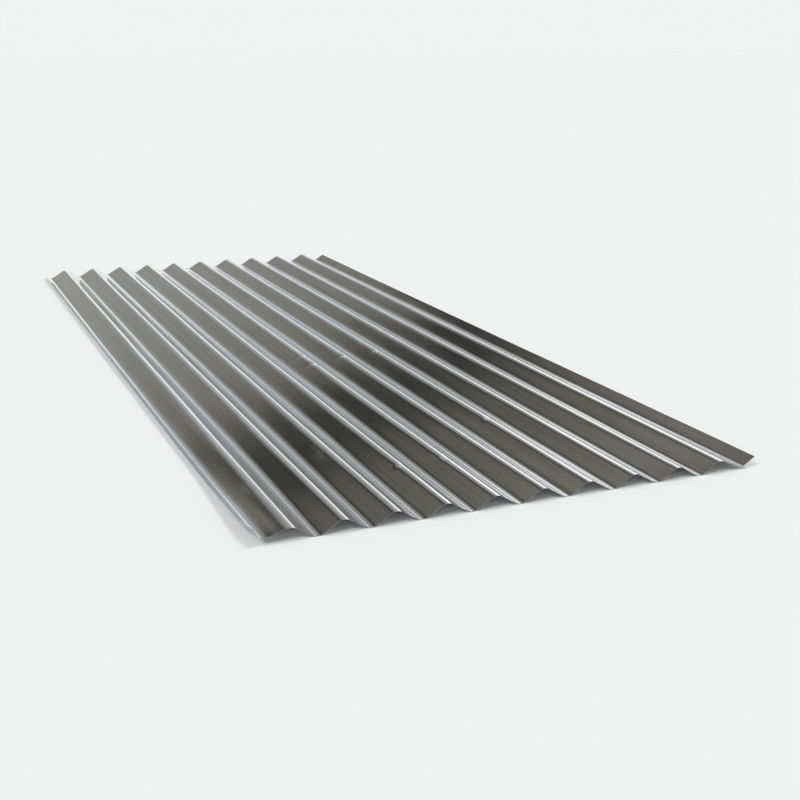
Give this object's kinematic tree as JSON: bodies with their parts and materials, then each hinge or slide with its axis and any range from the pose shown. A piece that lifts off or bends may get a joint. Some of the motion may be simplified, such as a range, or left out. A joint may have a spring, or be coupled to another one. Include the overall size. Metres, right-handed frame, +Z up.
{
  "type": "corrugated metal sheet",
  "caption": "Corrugated roofing sheet of bright zinc coated steel: round waves with straight flanks, square cut ends, for covering roofs and walls.",
  "frame": {"origin": "under the middle of the sheet, level with the underside of its troughs", "axes": "+X across the waves towards the edge with the longer lip, +Y along the waves, +Z up out of the upper face"},
  "size_m": [0.8, 2, 0.0185],
  "materials": {
    "zinc_coated_steel": "bright smooth zinc coating, nearly a mirror, with faint lengthwise rolling lines and a faint fine spangle"
  },
  "bodies": {
    "root": {"corrugated_sheet": "zinc_coated_steel"}
  },
  "joints": []
}
